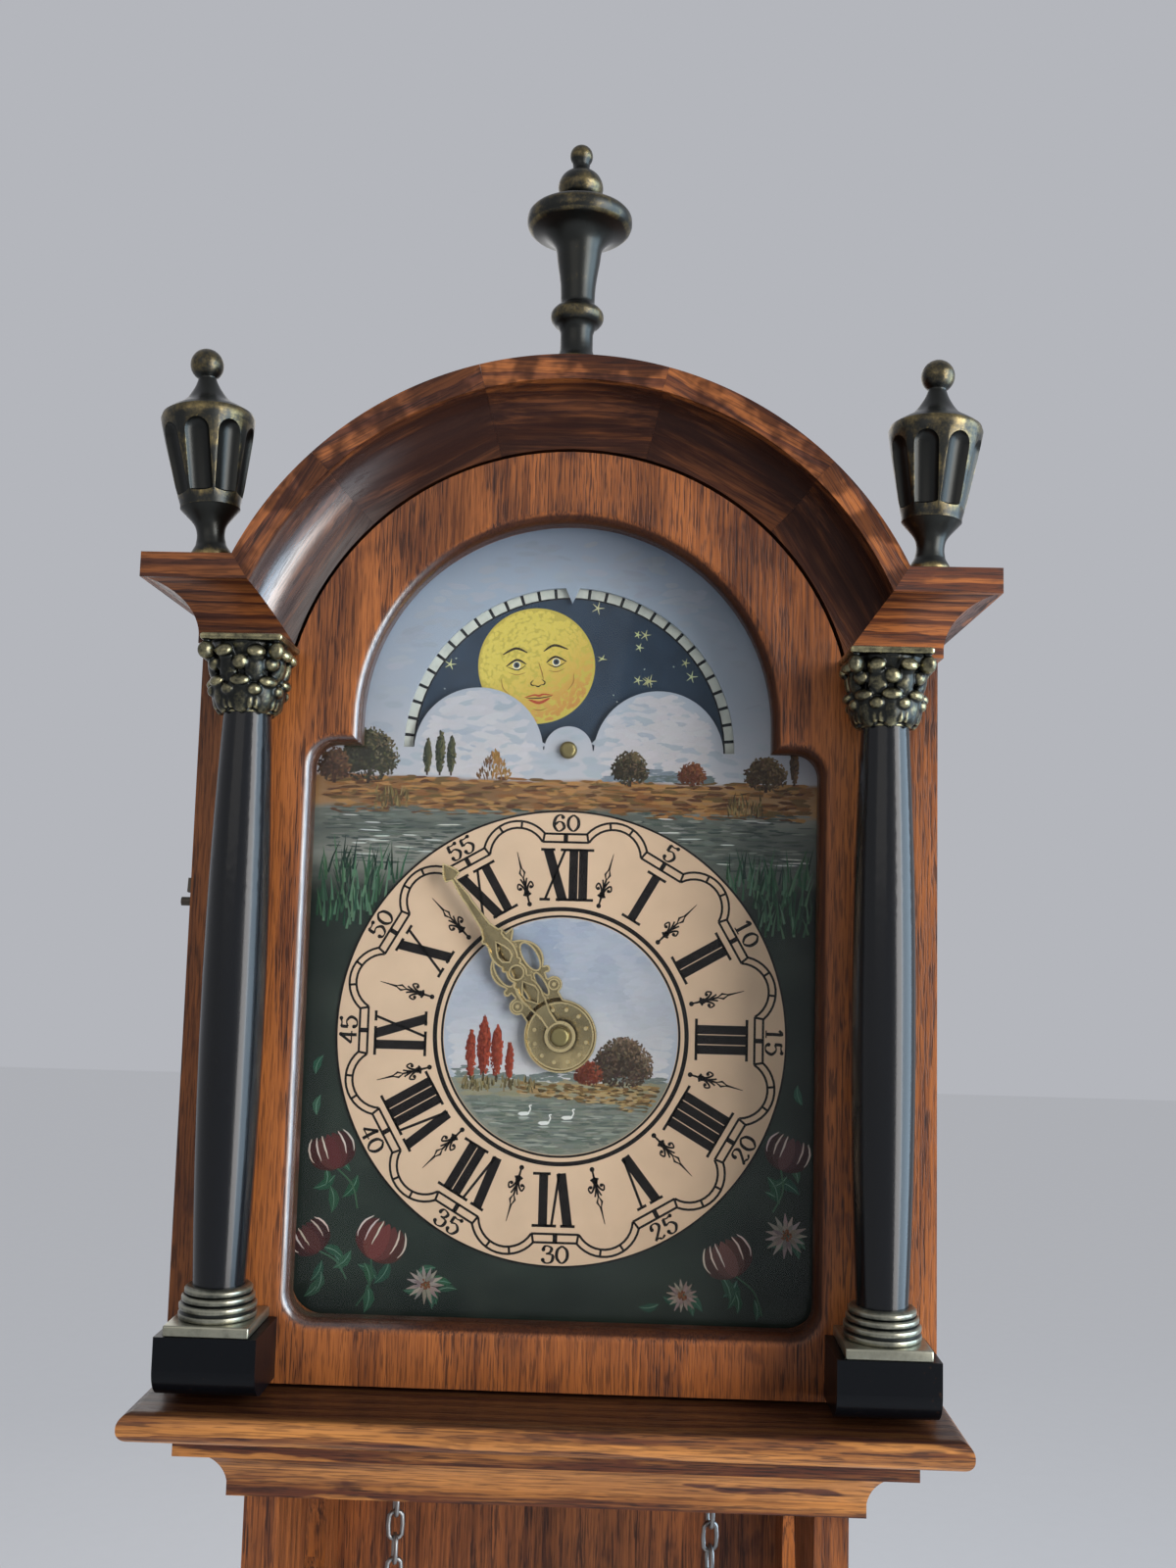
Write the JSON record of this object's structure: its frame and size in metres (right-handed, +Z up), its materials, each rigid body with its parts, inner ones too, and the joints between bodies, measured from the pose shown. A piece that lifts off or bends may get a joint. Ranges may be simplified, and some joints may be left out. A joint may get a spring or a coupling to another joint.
{
  "type": "frisian tail clock",
  "caption": "Wall clock with an arched hood, moon dial, turned columns and a slim pierced tail, driven by chain weights.",
  "frame": {"origin": "on the wall face of the back board, on the middle line, level with the top of the shelf", "axes": "+Z up, the front looks along -Y, +X to the right seen from the front"},
  "size_m": [0.2866, 0.1805, 1.2036],
  "materials": {
    "oak_case": "red-brown stained oak, satin wax",
    "oak_door": "red-brown stained oak with dark open pores, satin wax",
    "oak_shelf": "stained oak, worn lighter on the nose",
    "oak_tail": "stained oak, satin wax",
    "black_gloss": "turned wood in gloss black lacquer",
    "black_matt": "wood in satin black paint",
    "brass_ornament": "cast brass with dark patina and bright worn edges",
    "brass_hands": "pierced and filed brass",
    "dial_paint": "iron plate, hand painted, satin varnish",
    "moon_paint": "sheet painted night blue, satin varnish",
    "movement_brass": "rolled brass, brushed",
    "steel": "bright steel, slightly dulled",
    "bell_metal": "cast bell metal, turned",
    "chain_steel": "plain steel wire",
    "weight_brass": "brass shell, polished and a little tarnished",
    "door_glass": "clear window glass"
  },
  "bodies": {
    "case": {"hood_side_left": "oak_case", "hood_side_right": "oak_case", "hood_front_frame": "oak_case", "hood_roof": "oak_case", "hood_shoulders": "oak_case", "arch_segment_1": "oak_case", "arch_segment_2": "oak_case", "arch_segment_3": "oak_case", "arch_segment_4": "oak_case", "arch_segment_5": "oak_case", "cornice_front_left": "oak_case", "cornice_front_right": "oak_case", "cornice_returns": "oak_case", "shelf_moulding": "oak_case", "shelf": "oak_shelf", "tail_back_board": "oak_tail", "tail_front_board": "oak_tail", "tail_side_left": "oak_tail", "tail_side_right": "oak_tail", "tail_foot": "oak_tail", "seat_board": "oak_tail", "seat_cheeks": "oak_tail", "finial_centre": "brass_ornament", "side_finials": "brass_ornament", "moon_stud": "brass_hands", "dial_plate": "dial_paint", "movement_front_plate": "movement_brass", "movement_back_plate": "movement_brass", "pendulum_cock": "movement_brass", "movement_pillars": "steel", "bell_stand": "steel", "hanging_plate": "steel", "latch_screws": "steel", "bell": "bell_metal", "chain_free_ends": "chain_steel"},
    "door": {"door_frame": "oak_door", "door_glass": "door_glass", "door_pins": "steel", "columns": "black_gloss", "capitals": "brass_ornament", "column_bases": "brass_ornament", "plinths": "black_matt"},
    "latch": {"hook_latch": "brass_ornament"},
    "minute": {"centre_wheel": "movement_brass", "minute_hand": "brass_hands", "hand_nut": "brass_hands"},
    "hour": {"hour_hand": "brass_hands"},
    "moon": {"moon_disc": "moon_paint"},
    "third": {"third_wheel": "movement_brass"},
    "escape": {"escape_wheel": "movement_brass"},
    "anchor_body": {"anchor": "steel"},
    "pendulum": {"pendulum_rod": "steel", "pendulum_bob": "movement_brass"},
    "going_wheel": {"going_chain_wheel": "movement_brass"},
    "strike_wheel": {"strike_chain_wheel": "movement_brass"},
    "hammer_body": {"hammer": "steel"},
    "going_drive": {"going_weight": "weight_brass", "going_chain": "chain_steel"},
    "strike_drive": {"strike_weight": "weight_brass", "strike_chain": "chain_steel"}
  },
  "joints": [
    {"name": "door_hinge", "type": "hinge", "parent": "case", "child": "door", "pos_m": [0.121, -0.146, 0.12], "axis": [0, 0, 1], "range_deg": [0, 105]},
    {"name": "latch_turn", "type": "hinge", "parent": "case", "child": "latch", "pos_m": [-0.126, -0.122, 0.1565], "axis": [-1, 0, 0], "range_deg": [-8, 100]},
    {"name": "minute_turn", "type": "hinge", "parent": "case", "child": "minute", "pos_m": [0, -0.1308, 0.1135], "axis": [0, 1, 0], "continuous": true},
    {"name": "hour_turn", "type": "hinge", "parent": "case", "child": "hour", "pos_m": [0, -0.1284, 0.1135], "axis": [0, 1, 0], "continuous": true},
    {"name": "moon_turn", "type": "hinge", "parent": "case", "child": "moon", "pos_m": [0, -0.1233, 0.2135], "axis": [0, 1, 0], "continuous": true},
    {"name": "third_turn", "type": "hinge", "parent": "case", "child": "third", "pos_m": [0.01165, -0.0836, 0.13368], "axis": [0, 1, 0], "continuous": true},
    {"name": "escape_turn", "type": "hinge", "parent": "case", "child": "escape", "pos_m": [0, -0.0704, 0.14779], "axis": [0, 1, 0], "continuous": true},
    {"name": "pendulum_swing", "type": "hinge", "parent": "case", "child": "pendulum", "pos_m": [0, -0.0195, 0.167], "axis": [0, 1, 0], "range_deg": [-4, 4]},
    {"name": "anchor_rock", "type": "hinge", "parent": "case", "child": "anchor_body", "pos_m": [0, -0.07, 0.167], "axis": [0, 1, 0], "range_deg": [-4, 4]},
    {"name": "going_wheel_turn", "type": "hinge", "parent": "case", "child": "going_wheel", "pos_m": [0.044, -0.078, 0.084], "axis": [0, 1, 0], "range_deg": [-2456.5, 0]},
    {"name": "strike_wheel_turn", "type": "hinge", "parent": "case", "child": "strike_wheel", "pos_m": [-0.044, -0.078, 0.084], "axis": [0, 1, 0], "range_deg": [0, 2456.5]},
    {"name": "hammer_lift", "type": "hinge", "parent": "case", "child": "hammer_body", "pos_m": [0.034, -0.078, 0.168], "axis": [0, 1, 0], "range_deg": [0, 12]},
    {"name": "going_weight_travel", "type": "slide", "parent": "case", "child": "going_drive", "axis": [0, 0, 1], "range_m": [0, 0.6], "deforming": ["going_chain"]},
    {"name": "strike_weight_travel", "type": "slide", "parent": "case", "child": "strike_drive", "axis": [0, 0, 1], "range_m": [0, 0.6], "deforming": ["strike_chain"]}
  ],
  "couplings": [
    {"joint": "hour_turn", "follows": "minute_turn", "ratio": 0.083333},
    {"joint": "escape_turn", "follows": "third_turn", "ratio": -5},
    {"joint": "anchor_rock", "follows": "pendulum_swing", "ratio": 1},
    {"joint": "going_wheel_turn", "follows": "going_weight_travel", "rad_per_m": -71.429},
    {"joint": "strike_wheel_turn", "follows": "strike_weight_travel", "rad_per_m": 71.429}
  ]
}
